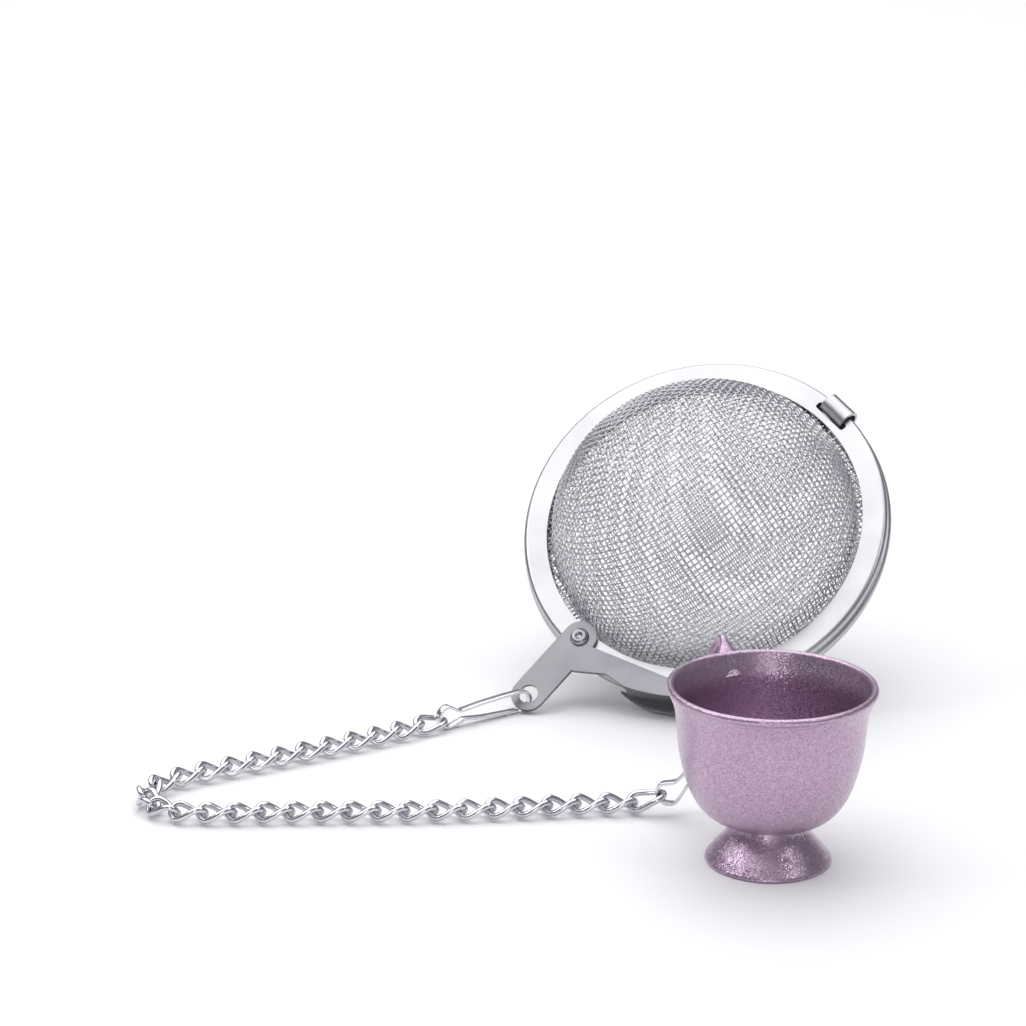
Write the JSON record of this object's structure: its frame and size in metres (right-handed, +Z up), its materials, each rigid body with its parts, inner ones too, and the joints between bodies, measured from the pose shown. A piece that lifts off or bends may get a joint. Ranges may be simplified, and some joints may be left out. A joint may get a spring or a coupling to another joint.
{
  "type": "tea infuser",
  "caption": "Hinged woven-wire ball for loose tea, with a riveted latch lever, a curb chain on flat-strip clips and a small teacup weight.",
  "frame": {"origin": "centre of the whole group's footprint, on the table", "axes": "+Z up from the table, which is the shortest extent; the ball's open face leans towards -Y; +X to the right"},
  "size_m": [0.1106, 0.11, 0.0466],
  "materials": {
    "rim_steel": "satin stamped stainless steel",
    "woven_wire": "fine woven stainless wire",
    "lever_steel": "brushed stainless steel",
    "rivet_steel": "pressed steel",
    "strip_steel": "bright spring strip",
    "chain_steel": "bright wire",
    "lilac_finish": "metallic lilac lacquer with fine flake"
  },
  "bodies": {
    "latch": {"latch_lever": "lever_steel"},
    "front_shell": {"front_rim": "rim_steel", "front_mesh": "woven_wire", "latch_rivet": "rivet_steel"},
    "back_shell": {"back_rim": "rim_steel", "back_mesh": "woven_wire"},
    "lever_clip": {"lever_clip": "strip_steel"},
    "chain_link_01": {"chain_link_01": "chain_steel"},
    "chain_link_02": {"chain_link_02": "chain_steel"},
    "chain_link_03": {"chain_link_03": "chain_steel"},
    "chain_link_04": {"chain_link_04": "chain_steel"},
    "chain_link_05": {"chain_link_05": "chain_steel"},
    "chain_link_06": {"chain_link_06": "chain_steel"},
    "chain_link_07": {"chain_link_07": "chain_steel"},
    "chain_link_08": {"chain_link_08": "chain_steel"},
    "chain_link_09": {"chain_link_09": "chain_steel"},
    "chain_link_10": {"chain_link_10": "chain_steel"},
    "chain_link_11": {"chain_link_11": "chain_steel"},
    "chain_link_12": {"chain_link_12": "chain_steel"},
    "chain_link_13": {"chain_link_13": "chain_steel"},
    "chain_link_14": {"chain_link_14": "chain_steel"},
    "chain_link_15": {"chain_link_15": "chain_steel"},
    "chain_link_16": {"chain_link_16": "chain_steel"},
    "chain_link_17": {"chain_link_17": "chain_steel"},
    "chain_link_18": {"chain_link_18": "chain_steel"},
    "chain_link_19": {"chain_link_19": "chain_steel"},
    "chain_link_20": {"chain_link_20": "chain_steel"},
    "chain_link_21": {"chain_link_21": "chain_steel"},
    "chain_link_22": {"chain_link_22": "chain_steel"},
    "chain_link_23": {"chain_link_23": "chain_steel"},
    "chain_link_24": {"chain_link_24": "chain_steel"},
    "chain_link_25": {"chain_link_25": "chain_steel"},
    "chain_link_26": {"chain_link_26": "chain_steel"},
    "chain_link_27": {"chain_link_27": "chain_steel"},
    "chain_link_28": {"chain_link_28": "chain_steel"},
    "chain_link_29": {"chain_link_29": "chain_steel"},
    "chain_link_30": {"chain_link_30": "chain_steel"},
    "chain_link_31": {"chain_link_31": "chain_steel"},
    "chain_link_32": {"chain_link_32": "chain_steel"},
    "cup_clip": {"cup_clip": "strip_steel"},
    "charm": {"cup_bowl": "lilac_finish", "cup_foot": "lilac_finish", "cup_handle": "lilac_finish"}
  },
  "joints": [
    {"name": "ball_latch", "type": "hinge", "parent": "latch", "child": "front_shell", "pos_m": [0.00759, 0.01988, 0.01004], "axis": [-0.2288, -0.6959, 0.6807], "range_deg": [0, 30]},
    {"name": "ball_hinge", "type": "hinge", "parent": "front_shell", "child": "back_shell", "pos_m": [0.04809, 0.03828, 0.04078], "axis": [0.5991, -0.6518, -0.465], "range_deg": [0, 120]},
    {"name": "clip_swing", "type": "hinge", "parent": "latch", "child": "lever_clip", "pos_m": [-0.00026, 0.01517, 0.00259], "axis": [0, 0, 1], "range_deg": [-8, 8]},
    {"name": "chain_01_turn", "type": "hinge", "parent": "lever_clip", "child": "chain_link_01", "pos_m": [-0.01341, 0.00673, 0.00187], "axis": [0, 0, 1], "range_deg": [-12, 12]},
    {"name": "chain_02_lift", "type": "hinge", "parent": "chain_link_01", "child": "chain_link_02", "pos_m": [-0.01662, 0.00441, 0.00159], "axis": [-0.5647, 0.8253, 0], "range_deg": [-7, 7]},
    {"name": "chain_03_turn", "type": "hinge", "parent": "chain_link_02", "child": "chain_link_03", "pos_m": [-0.01989, 0.00217, 0.00159], "axis": [0, 0, -1], "range_deg": [-12, 12]},
    {"name": "chain_04_lift", "type": "hinge", "parent": "chain_link_03", "child": "chain_link_04", "pos_m": [-0.02322, 0.00001, 0.00159], "axis": [0.5282, -0.8491, 0], "range_deg": [-7, 7]},
    {"name": "chain_05_turn", "type": "hinge", "parent": "chain_link_04", "child": "chain_link_05", "pos_m": [-0.02658, -0.00208, 0.00159], "axis": [0, 0, 1], "range_deg": [-12, 12]},
    {"name": "chain_06_lift", "type": "hinge", "parent": "chain_link_05", "child": "chain_link_06", "pos_m": [-0.02997, -0.00413, 0.00159], "axis": [-0.5109, 0.8597, 0], "range_deg": [-7, 7]},
    {"name": "chain_07_turn", "type": "hinge", "parent": "chain_link_06", "child": "chain_link_07", "pos_m": [-0.03338, -0.00615, 0.00159], "axis": [0, 0, -1], "range_deg": [-12, 12]},
    {"name": "chain_08_lift", "type": "hinge", "parent": "chain_link_07", "child": "chain_link_08", "pos_m": [-0.03679, -0.00817, 0.00159], "axis": [0.5013, -0.8653, 0], "range_deg": [-7, 7]},
    {"name": "chain_09_turn", "type": "hinge", "parent": "chain_link_08", "child": "chain_link_09", "pos_m": [-0.04022, -0.01015, 0.00159], "axis": [0, 0, 1], "range_deg": [-12, 12]},
    {"name": "chain_10_lift", "type": "hinge", "parent": "chain_link_09", "child": "chain_link_10", "pos_m": [-0.04368, -0.01208, 0.00159], "axis": [-0.478, 0.8784, 0], "range_deg": [-7, 7]},
    {"name": "chain_11_turn", "type": "hinge", "parent": "chain_link_10", "child": "chain_link_11", "pos_m": [-0.04716, -0.01398, 0.00159], "axis": [0, 0, -1], "range_deg": [-12, 12]},
    {"name": "chain_12_lift", "type": "hinge", "parent": "chain_link_11", "child": "chain_link_12", "pos_m": [-0.05046, -0.01617, 0.00159], "axis": [0.7326, -0.6807, 0], "range_deg": [-7, 7]},
    {"name": "chain_13_turn", "type": "hinge", "parent": "chain_link_12", "child": "chain_link_13", "pos_m": [-0.05314, -0.01906, 0.00159], "axis": [0, 0, 1], "range_deg": [-12, 0]},
    {"name": "chain_14_lift", "type": "hinge", "parent": "chain_link_13", "child": "chain_link_14", "pos_m": [-0.05411, -0.02284, 0.00159], "axis": [-0.9236, -0.3834, 0], "range_deg": [-3, 3]},
    {"name": "chain_15_turn", "type": "hinge", "parent": "chain_link_14", "child": "chain_link_15", "pos_m": [-0.05262, -0.02643, 0.00159], "axis": [0, 0, -1], "range_deg": [0, 12]},
    {"name": "chain_16_lift", "type": "hinge", "parent": "chain_link_15", "child": "chain_link_16", "pos_m": [-0.0493, -0.02849, 0.00159], "axis": [0.1404, 0.9901, 0], "range_deg": [-7, 7]},
    {"name": "chain_17_turn", "type": "hinge", "parent": "chain_link_16", "child": "chain_link_17", "pos_m": [-0.04539, -0.02905, 0.00159], "axis": [0, 0, 1], "range_deg": [-12, 12]},
    {"name": "chain_18_lift", "type": "hinge", "parent": "chain_link_17", "child": "chain_link_18", "pos_m": [-0.04143, -0.02907, 0.00159], "axis": [0.0443, -0.999, 0], "range_deg": [-7, 7]},
    {"name": "chain_19_turn", "type": "hinge", "parent": "chain_link_18", "child": "chain_link_19", "pos_m": [-0.03747, -0.02889, 0.00159], "axis": [0, 0, -1], "range_deg": [-12, 12]},
    {"name": "chain_20_lift", "type": "hinge", "parent": "chain_link_19", "child": "chain_link_20", "pos_m": [-0.03351, -0.0287, 0.00159], "axis": [-0.0235, 0.9997, 0], "range_deg": [-7, 7]},
    {"name": "chain_21_turn", "type": "hinge", "parent": "chain_link_20", "child": "chain_link_21", "pos_m": [-0.02955, -0.02861, 0.00159], "axis": [0, 0, 1], "range_deg": [-12, 12]},
    {"name": "chain_22_lift", "type": "hinge", "parent": "chain_link_21", "child": "chain_link_22", "pos_m": [-0.02559, -0.02857, 0.00159], "axis": [0.0143, -0.9999, 0], "range_deg": [-7, 7]},
    {"name": "chain_23_turn", "type": "hinge", "parent": "chain_link_22", "child": "chain_link_23", "pos_m": [-0.02162, -0.02851, 0.00159], "axis": [0, 0, -1], "range_deg": [-12, 12]},
    {"name": "chain_24_lift", "type": "hinge", "parent": "chain_link_23", "child": "chain_link_24", "pos_m": [-0.01766, -0.0284, 0.00159], "axis": [-0.049, 0.9988, 0], "range_deg": [-7, 7]},
    {"name": "chain_25_turn", "type": "hinge", "parent": "chain_link_24", "child": "chain_link_25", "pos_m": [-0.0137, -0.0282, 0.00159], "axis": [0, 0, 1], "range_deg": [-12, 12]},
    {"name": "chain_26_lift", "type": "hinge", "parent": "chain_link_25", "child": "chain_link_26", "pos_m": [-0.00975, -0.02791, 0.00159], "axis": [0.1005, -0.9949, 0], "range_deg": [-7, 7]},
    {"name": "chain_27_turn", "type": "hinge", "parent": "chain_link_26", "child": "chain_link_27", "pos_m": [-0.00581, -0.02751, 0.00159], "axis": [0, 0, -1], "range_deg": [-12, 12]},
    {"name": "chain_28_lift", "type": "hinge", "parent": "chain_link_27", "child": "chain_link_28", "pos_m": [-0.00188, -0.02703, 0.00159], "axis": [-0.1326, 0.9912, 0], "range_deg": [-7, 7]},
    {"name": "chain_29_turn", "type": "hinge", "parent": "chain_link_28", "child": "chain_link_29", "pos_m": [0.00205, -0.02651, 0.00159], "axis": [0, 0, 1], "range_deg": [-12, 12]},
    {"name": "chain_30_lift", "type": "hinge", "parent": "chain_link_29", "child": "chain_link_30", "pos_m": [0.00598, -0.026, 0.00159], "axis": [0.0901, -0.9959, 0], "range_deg": [-7, 7]},
    {"name": "chain_31_turn", "type": "hinge", "parent": "chain_link_30", "child": "chain_link_31", "pos_m": [0.00993, -0.02565, 0.00159], "axis": [0, 0, -1], "range_deg": [-12, 12]},
    {"name": "chain_32_lift", "type": "hinge", "parent": "chain_link_31", "child": "chain_link_32", "pos_m": [0.01389, -0.02556, 0.00159], "axis": [0.0705, 0.9975, 0], "range_deg": [0, 3]},
    {"name": "cup_clip_swing", "type": "hinge", "parent": "chain_link_32", "child": "cup_clip", "pos_m": [0.0174, -0.02581, 0.00275], "axis": [0, 0, 1], "range_deg": [-10, 10]},
    {"name": "charm_swing", "type": "hinge", "parent": "cup_clip", "child": "charm", "pos_m": [0.02672, -0.02806, 0.01087], "axis": [0.3389, -0.931, -0.1357], "range_deg": [-6, 12]}
  ]
}
